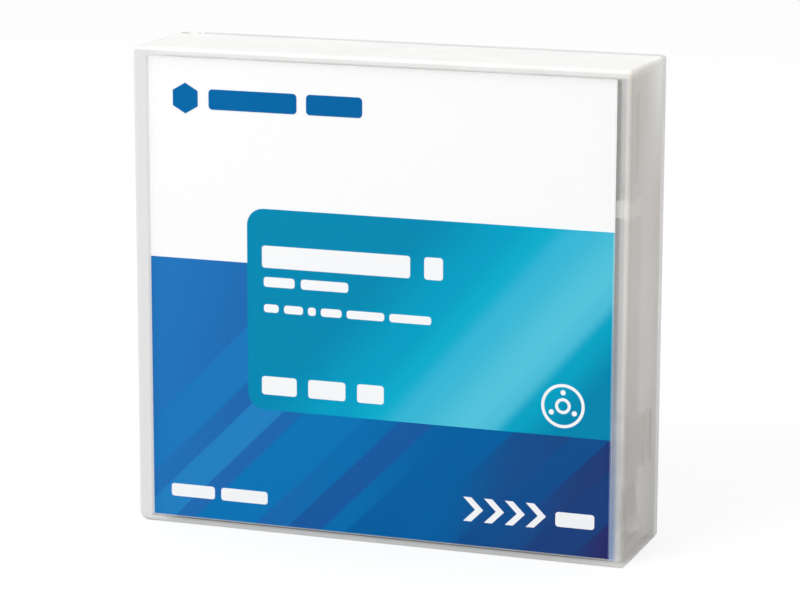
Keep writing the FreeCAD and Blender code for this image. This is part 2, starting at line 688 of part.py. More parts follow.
def leader_pin():
    """Turned steel pin with a flange at each end, standing in the two sockets."""
    neck = PIN_END + PIN_FLANGE_HIGH
    half = [(PIN_CORE, SPLIT), (PIN_CORE, neck), (PIN_FLANGE, neck), (PIN_FLANGE, PIN_END), (0, PIN_END)]
    other = [(r, HEIGHT - z) for r, z in reversed(half)]
    return at(turned(other[:-1] + half[1:]), PIN_X, PIN_Y)


def pin_sleeve():
    """Split plastic sleeve that clips the tape's end round the pin."""
    sleeve = ring(PIN_CORE + 0.05, PIN_CORE + SLEEVE_WALL, 3.6, FLANGE_TOP)
    slit = prism([(0, 0, 0), (4, -1.6, 0), (4, 1.6, 0)], 0, HEIGHT)
    return at(sleeve.cut(slit), PIN_X, PIN_Y)


def pin_clip():
    """Stamped leaf spring: two arms that keep the pin's flanges in their sockets."""
    face = END - WALL - 0.2
    left = PIN_X - PIN_FLANGE - 0.4
    arm = [(-41.5, face, 0), (left, face, 1.5), (left, 37.0, 0), (left + 0.2, 37.0, 0),
           (left + 0.2, face - 0.2, 1.3), (-41.5, face - 0.2, 0)]
    low = 1.8
    high = HEIGHT - low
    arms = [prism(arm, low, low + 1.0), prism(arm, high - 1.0, high)]
    return prism(rectangle(-45.0, -41.5, face - 0.2, face), low, high).multiFuse(arms).removeSplitter()


def tape_lead_in():
    """Straight stretch of tape, from where it leaves the wound tape to the sleeve on the pin."""
    reach = math.hypot(PIN_X, PIN_Y)
    angle = math.atan2(PIN_Y, PIN_X) - math.acos(TAPE_RADIUS / reach)
    out = V(math.cos(angle), math.sin(angle), FLANGE_LOW + FLANGE + 0.2)
    flat = V(out.x, out.y, 0)
    low = V(0, 0, out.z)
    start = flat * (TAPE_RADIUS + 0.15) + low
    end = V(PIN_X, PIN_Y, 0) + flat * (PIN_CORE + 0.83) + low
    thick = flat * 0.1
    strip = Part.Face(Part.makePolygon([start, end, end + thick, start + thick, start]))
    return strip.extrude(V(0, 0, TAPE_WIDTH))


# ---- Reel --------------------------------------------------------------------------------------
def reel_hub():
    """Hub and lower flange in one piece, with drive teeth below the web and brake teeth above it."""
    low = FLANGE_LOW
    hub = turned([
        (0, low), (FLANGE_RADIUS, low), (FLANGE_RADIUS, low + FLANGE), (HUB_RADIUS, low + FLANGE),
        (HUB_RADIUS, FLANGE_TOP), (HUB_BORE, FLANGE_TOP), (HUB_BORE, WEB_HIGH), (0, WEB_HIGH),
    ])
    drive = face_teeth(DRIVE_IN, DRIVE_OUT, low, low - DRIVE_TOOTH, DRIVE_TEETH)
    hub = hub.multiFuse(drive + around(brake_row(), 3, 60.0))
    legs = around(release_leg(LEG_GAP, 0, WEB_HIGH + 0.5), 3)
    return hub.cut(Part.makeCompound(legs)).removeSplitter()


def brake_row():
    """Raised arc on the hub's web with three brake teeth, centred on the X axis."""
    half = 1.6 * 2 * math.pi / BRAKE_TEETH
    reach = 2 * BRAKE_RING_OUT
    side = reach * math.tan(half)
    wedge = prism([(0, 0, 0), (reach, -side, 0), (reach, side, 0)], 0, HEIGHT)
    seat = ring(BRAKE_RING_IN, BRAKE_RING_OUT, WEB_HIGH - 0.2, BRAKE_SEAT).common(wedge)
    tip = BRAKE_SEAT + BRAKE_TOOTH
    teeth = face_teeth(BRAKE_TEETH_IN, BRAKE_TEETH_OUT, BRAKE_SEAT, tip, BRAKE_TEETH)
    return seat.multiFuse(teeth[:2] + teeth[-1:])


def release_leg(gap, low, high):
    """One leg of the release plate, or with a gap the hole it goes through."""
    half_long = LEG_LONG / 2 + gap
    half_wide = LEG_WIDE / 2 + gap
    return prism(rectangle(LEG_CIRCLE - half_long, LEG_CIRCLE + half_long, -half_wide, half_wide), low, high)


def reel_flange():
    """Upper flange, welded to the hub's top."""
    return ring(HUB_BORE, FLANGE_RADIUS, FLANGE_TOP, FLANGE_TOP + FLANGE)


def reel_plate():
    """Steel ring that a drive's magnet pulls on, set under the hub's web inside the drive teeth."""
    return ring(PLATE_IN, PLATE_OUT, FLANGE_LOW - 0.8, FLANGE_LOW)


def tape_pack():
    """All the wound tape, as one solid ring between the flanges."""
    low = FLANGE_LOW + FLANGE + 0.2
    return ring(HUB_RADIUS + 0.05, TAPE_RADIUS, low, low + TAPE_WIDTH)


def brake_button():
    """Toothed disc whose slotted boss slides on the shell's key; its teeth lock the hub's."""
    low = BRAKE_SEAT + BRAKE_TOOTH + BRAKE_GAP
    top = low + BRAKE_DISC
    rim = BRAKE_RING_OUT + 0.2
    boss = BOSS_RADIUS
    body = turned([(0, low), (rim, low), (rim, top), (boss, top), (boss, BOSS_TOP), (0, BOSS_TOP)])
    half_pitch = 180.0 / BRAKE_TEETH
    teeth = face_teeth(BRAKE_TEETH_IN, BRAKE_TEETH_OUT, low, low - BRAKE_TOOTH, BRAKE_TEETH, half_pitch)
    slot = brake_key(KEY_RIB + 0.3, 4.3, BOSS_TOP - 6.5, BOSS_TOP + 1)
    return body.multiFuse(teeth).cut(Part.makeCompound(slot)).removeSplitter()


def brake_spring():
    """Compression spring that presses the brake down into the hub's teeth."""
    foot = BRAKE_SEAT + BRAKE_TOOTH + BRAKE_GAP + BRAKE_DISC + 0.05
    spring = coil(BRAKE_COIL, BRAKE_WIRE, CEILING - 0.05 - foot, 3, 12)
    spring.translate(V(0, 0, foot))
    return spring


def release_plate():
    """Three-armed plate whose legs stand in the hub's holes; pushed up, it lifts the brake."""
    low = WEB_HIGH + 0.1
    arm = prism(rectangle(0, LEG_CIRCLE + 1.5, -ARM_WIDE / 2, ARM_WIDE / 2), low, low + ARM_HIGH)
    leg = release_leg(0, FLANGE_LOW - 1.0, low + 0.5)
    middle = post(ARM_BOSS, low, BRAKE_SEAT + BRAKE_TOOTH)
    return middle.multiFuse(around(arm, 3) + around(leg, 3)).removeSplitter()


# ---- Small parts in the rear corners -----------------------------------------------------------------
def write_protect_slider():
    """Slider behind the rear wall, with a grooved knob in the window."""
    inner = -END + WALL + 0.1
    left = SLIDER_WINDOW[0] + 0.2
    right = left + SLIDER_KNOB
    plate = prism(rectangle(left - 1.2, right + 0.8, inner, inner + 1.0), PLATE + 0.2, CEILING - 0.2)
    knob = prism(rectangle(left, right, -END + 0.1, inner + 0.2), SLIDER_LOW, SLIDER_HIGH)
    grooves = [prism(rectangle(x - 0.3, x + 0.3, -END - 1, -END + 0.6), SLIDER_LOW + 1, SLIDER_HIGH - 1)
               for x in (left + 1.4, left + 2.8, left + 4.2)]
    return plate.fuse(knob).cut(Part.makeCompound(grooves)).removeSplitter()


def memory_chip():
    """Radio memory of the cartridge: a small card that leans at 45 degrees in the rear corner."""
    card = prism(rectangle(-CHIP_LONG / 2, CHIP_LONG / 2, -CHIP_WIDE / 2, CHIP_WIDE / 2), -0.5, 0.5)
    card.rotate(V(0, 0, 0), V(1, 0, 0), -45)
    card.translate(V(40.0, -END + 5.75, 5.6))
    return card


CASE_PIECES = [case_base, case_cover, insert_card]
CARTRIDGE_PIECES = [
    shell_bottom, shell_top, shell_screws, access_door, door_spring, leader_pin, pin_sleeve, pin_clip,
    tape_lead_in, reel_hub, reel_flange, reel_plate, tape_pack, brake_button, brake_spring, release_plate,
    write_protect_slider, memory_chip,
]

os.makedirs("parts", exist_ok=True)
for pieces, seat in ((CASE_PIECES, CASE_SEAT), (CARTRIDGE_PIECES, CARTRIDGE_SEAT)):
    for piece in pieces:
        shape = piece()
        if len(shape.Solids) == 1:
            shape = shape.Solids[0]
        shape.Placement = seat.multiply(shape.Placement)
        shape.exportStep(f"parts/{piece.__name__}.step")
        print(piece.__name__, len(shape.Solids), shape.isValid(), round(shape.Volume, 1))
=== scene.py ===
import math

import bmesh
import bpy
from mathutils import Matrix, Vector


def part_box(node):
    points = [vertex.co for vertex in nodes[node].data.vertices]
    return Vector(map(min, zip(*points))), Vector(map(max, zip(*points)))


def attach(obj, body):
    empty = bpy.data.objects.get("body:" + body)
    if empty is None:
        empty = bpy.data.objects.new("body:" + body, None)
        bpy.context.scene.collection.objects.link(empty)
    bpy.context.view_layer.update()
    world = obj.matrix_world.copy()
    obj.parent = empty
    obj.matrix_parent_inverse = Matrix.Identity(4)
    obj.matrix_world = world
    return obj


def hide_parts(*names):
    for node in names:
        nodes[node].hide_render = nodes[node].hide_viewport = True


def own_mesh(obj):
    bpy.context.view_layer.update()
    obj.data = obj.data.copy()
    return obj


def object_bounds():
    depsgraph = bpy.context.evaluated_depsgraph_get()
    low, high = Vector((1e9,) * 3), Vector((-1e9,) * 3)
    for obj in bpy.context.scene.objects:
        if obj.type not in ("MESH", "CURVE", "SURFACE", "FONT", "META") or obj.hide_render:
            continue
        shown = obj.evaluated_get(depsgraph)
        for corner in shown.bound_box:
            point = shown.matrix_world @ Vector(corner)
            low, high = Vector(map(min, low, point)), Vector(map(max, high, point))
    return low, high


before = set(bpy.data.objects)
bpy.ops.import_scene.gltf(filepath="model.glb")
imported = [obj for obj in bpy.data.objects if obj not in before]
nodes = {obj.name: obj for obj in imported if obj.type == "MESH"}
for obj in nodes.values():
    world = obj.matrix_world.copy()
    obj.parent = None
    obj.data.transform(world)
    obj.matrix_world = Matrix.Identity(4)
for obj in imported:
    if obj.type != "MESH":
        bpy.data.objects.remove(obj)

# Half-inch data tape cartridge in its hinged library case, standing on its lower edge.
# All places are in metres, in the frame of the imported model: X to the right, Y to the back, Z up.
MM = 0.001
cad_low, cad_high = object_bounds()


# ---- Library case, back half -------------------------------------------------------------------------
# Injection moulded in natural polypropylene, 1.1 to 1.4 mm thick: a tray with nest walls round the
# cartridge, a spine and two hinge pins. The resin has no pigment, so it is milky and lets light through.
def linear(code):
    """sRGB hex colour as linear red, green, blue and alpha."""
    parts = [int(code[i:i + 2], 16) / 255 for i in (1, 3, 5)]
    return [p / 12.92 if p <= 0.04045 else ((p + 0.055) / 1.055) ** 2.4 for p in parts] + [1.0]


def add(tree, kind, settings=(), links=()):
    """Adds a shader node. Links hold plain values, or the sockets that feed its inputs."""
    made = tree.nodes.new("ShaderNode" + kind)
    for name, value in dict(settings).items():
        setattr(made, name, value)
    for name, value in dict(links).items():
        if isinstance(value, bpy.types.NodeSocket):
            tree.links.new(value, made.inputs[name])
        else:
            made.inputs[name].default_value = value
    return made


def start_material(name):
    """A new material with its node tree, its Principled shader and its place on the piece in metres."""
    material = bpy.data.materials.new(name)
    material.use_nodes = True
    tree = material.node_tree
    shader = tree.nodes["Principled BSDF"]
    place = add(tree, "TexCoord").outputs["Object"]
    return material, tree, shader, place


def grains(tree, place, size_mm, detail=2.0):
    """Noise whose grains are about so many millimetres wide, as a factor round one half."""
    noise = add(tree, "TexNoise", {}, {"Vector": place, "Scale": 1 / (size_mm * MM), "Detail": detail})
    return noise.outputs["Fac"]


def between(tree, factor, low, high, from_low=0.35, from_high=0.65):
    """A factor spread over a range of values. Noise lies mostly between 0.35 and 0.65."""
    spread = add(tree, "MapRange", {}, {
        "Value": factor, "From Min": from_low, "From Max": from_high, "To Min": low, "To Max": high,
    })
    return spread.outputs["Result"]


def tinted(tree, factor, first, second):
    """A colour between two, by a factor."""
    mix = add(tree, "Mix", {"data_type": "RGBA"}, {"Factor": factor})
    mix.inputs["A"].default_value = linear(first)
    mix.inputs["B"].default_value = linear(second)
    return mix.outputs["Result"]


def dress(node, material):
    """Puts a material on a CAD node."""
    mesh = nodes[node].data
    mesh.materials.clear()
    mesh.materials.append(material)


def natural_polypropylene(name, colour, deeper):
    """Unpigmented moulded polypropylene: satin, with the faint cloudiness of a resin that cooled unevenly."""
    material, tree, shader, place = start_material(name)
    cloud = grains(tree, place, size_mm=14.0)
    tree.links.new(tinted(tree, between(tree, cloud, 0.0, 1.0), colour, deeper), shader.inputs["Base Color"])
    satin = grains(tree, place, size_mm=0.5, detail=3.0)
    tree.links.new(between(tree, satin, 0.30, 0.42), shader.inputs["Roughness"])
    bump = add(tree, "Bump", {}, {"Height": satin, "Strength": 0.05, "Distance": 0.02 * MM})
    tree.links.new(bump.outputs["Normal"], shader.inputs["Normal"])
    shader.inputs["IOR"].default_value = 1.49
    return material, tree, shader, place


MILKY_BACK = 0.42            # share of the light that each face of a wall stops
back_plastic, _, shader, _ = natural_polypropylene("natural_polypropylene_back", "#E6E7E6", "#DEDFDE")
shader.inputs["Alpha"].default_value = MILKY_BACK
dress("case_base", back_plastic)


# ---- Library case, cover -----------------------------------------------------------------------------
# The front half, of the same resin: a panel with three walls and two ears that turn on the back's pins.
# The resin is hazy, but what lies against it, as the card does behind the panel, shows through clear.
def inside(tree, axis, low, high, soft):
    """One between low and high along an axis, none outside, with a soft edge. Metres."""
    middle = (low + high) / 2
    half = (high - low) / 2
    away = add(tree, "Math", {"operation": "SUBTRACT"}, {0: axis, 1: middle}).outputs[0]
    away = add(tree, "Math", {"operation": "ABSOLUTE"}, {0: away}).outputs[0]
    return between(tree, away, 1.0, 0.0, half - soft, half + soft)


def times(tree, *factors):
    """Product of factors."""
    product = factors[0]
    for factor in factors[1:]:
        product = add(tree, "Math", {"operation": "MULTIPLY"}, {0: product, 1: factor}).outputs[0]
    return product


def moved(tree, share, start, end, kind="FLOAT"):
    """The start value or colour, moved towards the end one by a share."""
    blend = add(tree, "Mix", {"data_type": kind}, {"Factor": share, "A": start, "B": end})
    return blend.outputs["Result"]


# Share of the light that each face of the cover stops, by its place.
MILKY_COVER = 0.41           # wherever nothing below applies
MILKY_BOTTOM = 0.50          # border below the card
MILKY_SIDE = 0.70            # right wall
MILKY_SIDE_LOW = 0.28        # right wall at the foot, made clearer so it shows darker there: painted shade
MILKY_CORNER = 0.93          # right wall's top back corner, milkier: painted light from two edges
MILKY_SPINE_SIDE = 0.93      # left border, which the spine backs
MILKY_TOP = 0.93             # top wall, made milkier so its edge shows bright: painted light from above
MILKY_STRIP = 0.20           # beside the card, where the panel alone covers the cartridge
MILKY_STRIP_LOW = 0.34       # the same at the foot: painted blue light from the ink beside it
MILKY_LOW_TAB = 0.08         # lower tab on the right wall, made nearly clear so it hardly shows
CLEAR_PANEL = 0.002          # over the card, which lies against the resin and clears its haze
CLEARED = 0.14               # share of milk that two fields of the right wall lose, so they show darker
TAB_ROOT = 0.6               # share of the way to the corner's milk at the upper tab's root: painted light
SCATTERED = 0.8              # share of the stopped light that the milk scatters on, so it shades little
SCATTERED_SPINE = 0.95       # the same beside the spine, whose two walls pass the light along

WALL = 1.3 * MM
PRINT_GAP = 0.12 * MM        # between the card and the panel
STRIP_WIDE = 1.35 * MM       # from the card's right edge to where the milky border starts
CARD_LIFT = 0.3 * MM         # width at the card's left edge that doesn't lie against the panel
SPINE_REACH = 6 * MM         # width over which the left border's milk thins out
LOW_END = 60 * MM            # height at which the darkening towards the foot ends
TAB_LOW = 30.6 * MM          # middles of the two tabs on the right wall
TAB_HIGH = 80.4 * MM
TAB_HALF = 2 * MM
ROOT_DEEP = 9 * MM           # depth behind the panel's face of the painted light at the tab's root
CLEAR_TOP_DEPTH = (2.1 * MM, 5.8 * MM)        # clearer field near the top, behind the panel's face
CLEAR_TOP_RISE = (86 * MM, 106 * MM)
CLEAR_FOOT_DEPTH = 17 * MM    # clearer field near the foot, whose back edge leans
CLEAR_FOOT_RISE = (6 * MM, 18.5 * MM)
CLEAR_FOOT_LEAN = 0.57
CORNER_RISE = (80 * MM, 104 * MM)            # where the top back corner's painted light starts and is full
CORNER_DEPTH = (-3 * MM, 8 * MM)

card_low, card_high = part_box("insert_card")
cover_low, cover_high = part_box("case_cover")
panel_back = card_low.y - PRINT_GAP
wall_inside = cover_high.x - WALL
cover_plastic, tree, shader, place = natural_polypropylene(
    "contact_clear_polypropylene", "#F0F0EE", "#EAEAE8",
)
axes = add(tree, "SeparateXYZ", {}, {"Vector": place}).outputs

# Places on the cover, each one inside and none outside.
in_panel = inside(tree, axes["Y"], cover_low.y - 1 * MM, panel_back + 0.06 * MM, 0.02 * MM)
behind_panel = between(tree, axes["Y"], 0.0, 1.0, panel_back + 0.1 * MM, panel_back + 0.2 * MM)
card_rise = inside(tree, axes["Z"], card_low.z + 0.1 * MM, card_high.z + 0.1 * MM, 0.1 * MM)
card_span = inside(tree, axes["X"], card_low.x + CARD_LIFT, card_high.x + 0.05 * MM, 0.03 * MM)
strip_span = inside(tree, axes["X"], card_high.x - 1 * MM, card_high.x + STRIP_WIDE, 0.5 * MM)
over_card = times(tree, in_panel, card_rise, card_span)
over_strip = times(tree, in_panel, card_rise, strip_span)
at_side = between(tree, axes["X"], 0.0, 1.0, wall_inside - 0.3 * MM, wall_inside + 0.2 * MM)
at_spine = between(tree, axes["X"], 1.0, 0.0, card_low.x - 0.1 * MM, card_low.x + SPINE_REACH)
at_top = between(tree, axes["Z"], 0.0, 1.0, card_high.z + 0.3 * MM, card_high.z + 0.8 * MM)
at_foot = between(tree, axes["Z"], 1.0, 0.0, card_low.z - 0.3 * MM, card_low.z)
low_down = between(tree, axes["Z"], 1.0, 0.0, 0.0, LOW_END)

# Places in the right wall and behind the panel: two clearer fields, the wall's top back corner and the root
# of the upper tab, where light is painted in, and the lower tab.
clear_top_field = times(
    tree,
    inside(tree, axes["Y"], cover_low.y + CLEAR_TOP_DEPTH[0], cover_low.y + CLEAR_TOP_DEPTH[1], 0.6 * MM),
    inside(tree, axes["Z"], *CLEAR_TOP_RISE, 0.8 * MM),
)
leaning = add(tree, "Math", {"operation": "MULTIPLY_ADD"}, {0: axes["Z"], 1: CLEAR_FOOT_LEAN, 2: axes["Y"]})
clear_foot_field = times(
    tree,
    inside(tree, leaning.outputs[0], cover_low.y - 1 * MM, cover_low.y + CLEAR_FOOT_DEPTH, 0.7 * MM),
    inside(tree, axes["Z"], *CLEAR_FOOT_RISE, 0.8 * MM),
)
clear_fields = add(tree, "Math", {"operation": "MAXIMUM"}, {0: clear_top_field, 1: clear_foot_field}).outputs[0]
painted_light_corner = times(
    tree, between(tree, axes["Z"], 0.0, 1.0, *CORNER_RISE), between(tree, axes["Y"], 0.0, 1.0, *CORNER_DEPTH),
)
painted_light_root = times(
    tree,
    inside(tree, axes["Z"], TAB_HIGH - TAB_HALF, TAB_HIGH + TAB_HALF, 0.8 * MM),
    inside(tree, axes["Y"], cover_low.y - 3 * MM, cover_low.y + ROOT_DEEP, 2 * MM),
)
low_tab = times(
    tree, behind_panel,
    inside(tree, axes["X"], card_high.x - 3 * MM, wall_inside - 0.4 * MM, 0.1 * MM),
    inside(tree, axes["Z"], TAB_LOW - 3 * MM, TAB_LOW + 3 * MM, 0.2 * MM),
)

# The milk, from the general to the particular.
milky = moved(tree, at_foot, MILKY_COVER, MILKY_BOTTOM)
# Painted shade: the right wall is made clearer towards the foot, so it shows darker there.
milky = moved(tree, at_side, milky, moved(tree, low_down, MILKY_SIDE, MILKY_SIDE_LOW))
milky = moved(tree, times(tree, clear_fields, at_side, CLEARED), milky, 0.0)
# Painted light: the right wall's top back corner is made milkier, so it shows brighter.
milky = moved(tree, times(tree, at_side, painted_light_corner), milky, MILKY_CORNER)
# Painted light at the upper tab's root: the wall is made milkier there, so it shows brighter.
milky = moved(tree, times(tree, at_side, painted_light_root, TAB_ROOT), milky, MILKY_CORNER)
milky = moved(tree, at_spine, milky, MILKY_SPINE_SIDE)
# Painted light from above: the band above the card is made milkier, so it shows bright.
milky = moved(tree, at_top, milky, MILKY_TOP)
milky = moved(tree, over_strip, milky, moved(tree, low_down, MILKY_STRIP, MILKY_STRIP_LOW))
milky = moved(tree, low_tab, milky, MILKY_LOW_TAB)
milky = moved(tree, over_card, milky, CLEAR_PANEL)
shading = add(tree, "LightPath").outputs["Is Shadow Ray"]
passed_on = times(tree, shading, moved(tree, at_spine, SCATTERED, SCATTERED_SPINE))
tree.links.new(moved(tree, passed_on, milky, 0.0), shader.inputs["Alpha"])

resin = shader.inputs["Base Color"].links[0].from_socket
for share, tint in (
    (at_side, "#EDE8E2"),                                # painted: warm tone of the light on the right wall
    (times(tree, at_side, painted_light_corner), "#FFFDF8"),        # painted highlight in its top back corner
    (times(tree, at_spine, in_panel), "#E7E6E6"),        # grey over the spine
    (times(tree, over_strip, low_down), "#9AB9EC"),      # painted blue light from the ink beside the strip
):
    resin = moved(tree, share, resin, linear(tint), "RGBA")
tree.links.new(resin, shader.inputs["Base Color"])
dress("case_cover", cover_plastic)


# ---- Card behind the cover ---------------------------------------------------------------------------
# A sheet of heavy coated card, cut to the panel and slipped in behind the tabs. It is offset printed in
# process inks: a blue field with rising ribbons, a teal panel with a band of light, and plain bars.
# Layers from the card outwards: 1 is the field, 2 the ribbons, 3 the panel, 4 the bars, marks and heading.
INK = 0.02 * MM              # each layer stands this far off the one below
NEAR = 1e-7                  # points that are closer than this are one, in metres
FIELD_TOP = 62.6 * MM
PANEL_LEFT = -31.5 * MM
PANEL_LOW = 28.7 * MM
PANEL_TOP = 75.3 * MM
PANEL_CORNER = 4.0 * MM
BAR_CORNER = 0.7 * MM
HEADING_CORNER = 0.9 * MM


def coated_card(name, colour):
    """Coated paper board: even and slightly glossy, with faint fibres in its surface."""
    material, tree, shader, place = start_material(name)
    fibres = grains(tree, place, size_mm=0.35, detail=4.0)
    shader.inputs["Base Color"].default_value = linear(colour)
    tree.links.new(between(tree, fibres, 0.34, 0.46), shader.inputs["Roughness"])
    bump = add(tree, "Bump", {}, {"Height": fibres, "Strength": 0.06, "Distance": 0.01 * MM})
    tree.links.new(bump.outputs["Normal"], shader.inputs["Normal"])
    return material


def offset_ink(name, colour):
    """Offset ink on the card: an even film, with hardly any gloss of its own under the clear panel."""
    material, tree, shader, place = start_material(name)
    shader.inputs["Base Color"].default_value = linear(colour)
    shader.inputs["Specular IOR Level"].default_value = 0.015
    screen = grains(tree, place, size_mm=0.3)
    tree.links.new(between(tree, screen, 0.40, 0.52), shader.inputs["Roughness"])
    return material, tree, shader, place


def gradient_ink(name, across, up, stops):
    """Offset ink that changes along one direction of the card. Stops are (millimetres, colour)."""
    first, last = stops[0][0], stops[-1][0]
    material, tree, shader, place = offset_ink(name, stops[0][1])
    axes = add(tree, "SeparateXYZ", {}, {"Vector": place}).outputs
    side = times(tree, axes["X"], across / MM)
    rise = times(tree, axes["Z"], up / MM)
    along = add(tree, "Math", {"operation": "ADD"}, {0: side, 1: rise}).outputs[0]
    ramp = add(tree, "ValToRGB", {}, {"Fac": between(tree, along, 0.0, 1.0, first, last)})
    ramp.color_ramp.interpolation = "EASE"
    marks = ramp.color_ramp.elements
    while len(marks) < len(stops):
        marks.new(0.5)
    for mark, (millimetres, colour) in zip(marks, stops):
        mark.position = (millimetres - first) / (last - first)
        mark.color = linear(colour)
    tree.links.new(ramp.outputs["Color"], shader.inputs["Base Color"])
    return material


def keep(name, mesh, material, smooth=False):
    """Makes an object of a bmesh, with its faces outward, and gives it a material."""
    bmesh.ops.recalc_face_normals(mesh, faces=mesh.faces[:])
    data = bpy.data.meshes.new(name)
    mesh.to_mesh(data)
    mesh.free()
    data.materials.append(material)
    data.polygons.foreach_set("use_smooth", [smooth] * len(data.polygons))
    piece = bpy.data.objects.new(name, data)
    bpy.context.scene.collection.objects.link(piece)
    return piece


def on_card(corners):
    """A bmesh with one flat face on the card's front, from (x, z) corners in metres."""
    mesh = bmesh.new()
    mesh.faces.new([mesh.verts.new((x, card_low.y, z)) for x, z in corners])
    return mesh


def film(name, mesh, layer, material):
    """Raises a flat face on the card to a thin closed film of ink."""
    raised = bmesh.ops.extrude_face_region(mesh, geom=mesh.faces[:])["geom"]
    lifted = [v for v in raised if isinstance(v, bmesh.types.BMVert)]
    bmesh.ops.translate(mesh, vec=(0, -layer * INK, 0), verts=lifted)
    return keep(name, mesh, material)


def printed(name, corners, layer, material, rounded=0.0, round_left_only=False):
    """A film of ink from (x, z) corners in metres, with all or only its left corners rounded."""
    mesh = on_card(corners)
    if rounded:
        left = min(x for x, _ in corners)
        turned = [v for v in mesh.verts if v.co.x < left + NEAR or not round_left_only]
        bmesh.ops.bevel(mesh, geom=turned, offset=rounded, segments=8, profile=0.5, affect="VERTICES",
                        material=-1)
    return film(name, mesh, layer, material)


def printed_ring(name, x, z, inner, outer, layer, material):
    """A flat ring of ink about a point of the card, from millimetres."""
    mesh = bmesh.new()
    section = [(inner, 0), (outer, 0), (outer, layer), (inner, layer)]
    loop = [mesh.verts.new(((x + r) * MM, card_low.y - k * INK, z * MM)) for r, k in section]
    edges = [mesh.edges.new((a, b)) for a, b in zip(loop, loop[1:] + loop[:1])]
    bmesh.ops.spin(mesh, geom=loop + edges, cent=(x * MM, 0, z * MM), axis=(0, 1, 0), angle=math.tau,
                   steps=64, use_merge=True)
    bmesh.ops.remove_doubles(mesh, verts=mesh.verts[:], dist=NEAR)
    return keep(name, mesh, material)


def joined(name, pieces):
    """Several objects of like material as one."""
    first = pieces[0]
    merged = bmesh.new()
    for piece in pieces:
        merged.from_mesh(piece.data)
        if piece is not first:
            bpy.data.objects.remove(piece)
    merged.to_mesh(first.data)
    merged.free()
    first.name = name
    return first


def bar(x_low, x_high, z_low, z_high):
    """Corners of an upright rectangle, from millimetres."""
    return [(x * MM, z * MM) for x, z in ((x_low, z_low), (x_high, z_low), (x_high, z_high), (x_low, z_high))]


dress("insert_card", coated_card("white_coated_card", "#FFFFFF"))

field_ink = gradient_ink("blue_field_ink", 1.0, -0.25, [
    (-68.0, "#2278C0"), (-35.0, "#1F69B3"), (-12.0, "#0570B4"), (10.0, "#0063A6"), (30.0, "#164F8E"),
    (45.0, "#213F7C"), (53.0, "#2C2F6B"),
])
card_left, card_right = card_low.x, card_high.x
field = printed("card_blue_field", [
    (card_left, card_low.z), (card_right, card_low.z), (card_right, FIELD_TOP), (card_left, FIELD_TOP),
], 1, field_ink)

# Ribbons that rise at 45 degrees across the field: the x of the left foot, the width and the colour.
RIBBONS = [
    (-78.0, 13.0, "#1C7AC0"), (-59.0, 9.0, "#2383C6"), (-45.0, 15.0, "#0677BA"), (-22.0, 8.0, "#185CA3"),
    (-8.0, 13.0, "#0062A4"), (18.0, 9.0, "#0F5092"), (34.0, 12.0, "#1C4280"),
]
field_rise = FIELD_TOP - card_low.z
ribbons = []
for number, (foot, width, colour) in enumerate(RIBBONS, 1):
    foot_left, foot_right = foot * MM, (foot + width) * MM
    mesh = on_card([
        (foot_left, card_low.z), (foot_right, card_low.z),
        (foot_right + field_rise, FIELD_TOP), (foot_left + field_rise, FIELD_TOP),
    ])
    for edge, outward in ((card_left, -1), (card_right, 1)):
        bmesh.ops.bisect_plane(mesh, geom=mesh.verts[:] + mesh.edges[:] + mesh.faces[:], dist=NEAR,
                               plane_co=(edge, 0, 0), plane_no=(outward, 0, 0), clear_outer=True)
    ribbons.append(film(f"card_ribbon_{number}", mesh, 2, offset_ink(f"ribbon_ink_{number}", colour)[0]))

# The band of light runs across the teal panel, square to a line that falls 41 degrees to the right.
teal_ink = gradient_ink("teal_panel_ink", 0.751, -0.660, [
    (-75.0, "#008CB6"), (-42.0, "#008CB7"), (-26.0, "#00A3CA"), (-20.0, "#08B0D2"), (-14.5, "#3ABCDC"),
    (-3.0, "#57CAE2"), (0.5, "#4FC4E0"), (4.0, "#00A7CA"), (13.0, "#008AB4"),
])
panel = printed("card_teal_panel", [
    (PANEL_LEFT, PANEL_LOW), (card_right, PANEL_LOW), (card_right, PANEL_TOP), (PANEL_LEFT, PANEL_TOP),
], 3, teal_ink, PANEL_CORNER, round_left_only=True)

# Plain bars where words would stand, in the white of unprinted card: left, right, low and high, in
# millimetres.
WHITE_BARS = [
    (-27.9, 7.6, 61.8, 66.9), (10.9, 15.3, 61.8, 66.9),
    (-27.5, -20.0, 57.4, 59.7), (-18.5, -7.1, 57.4, 59.7),
    (-27.5, -23.9, 51.5, 53.4), (-22.6, -18.0, 51.5, 53.4), (-16.8, -14.9, 51.5, 53.4),
    (-13.7, -8.7, 51.5, 53.4), (-7.5, 1.5, 51.5, 53.4), (2.7, 12.6, 51.5, 53.4),
    (-28.1, -19.6, 32.3, 36.6), (-16.8, -7.8, 32.3, 36.6), (-5.0, 1.4, 32.3, 36.6),
    (-50.8, -40.0, 6.2, 9.2), (-38.4, -26.9, 6.2, 9.2),
    (42.0, 51.0, 7.9, 11.3),
]
bare_white = coated_card("unprinted_card_white", "#FBFCFD")
bars = [printed(f"bar_{i}", bar(*sides), 4, bare_white, BAR_CORNER) for i, sides in enumerate(WHITE_BARS)]

# Four arrowheads in a row, in millimetres.
ARROW_LEFT = 20.4
ARROW_STEP = 4.9
ARROW_LOW = 7.1
ARROW_HIGH = 12.7
ARROW_BAND = 1.9
ARROW_POINT = 2.8
arrow_middle = (ARROW_LOW + ARROW_HIGH) / 2
for i in range(4):
    x = ARROW_LEFT + ARROW_STEP * i
    arrow = [
        (x, ARROW_LOW), (x + ARROW_BAND, ARROW_LOW), (x + ARROW_BAND + ARROW_POINT, arrow_middle),
        (x + ARROW_BAND, ARROW_HIGH), (x, ARROW_HIGH), (x + ARROW_POINT, arrow_middle),
    ]
    bars.append(printed(f"arrow_{i}", [(a * MM, b * MM) for a, b in arrow], 4, bare_white))
bars = joined("card_white_bars", bars)

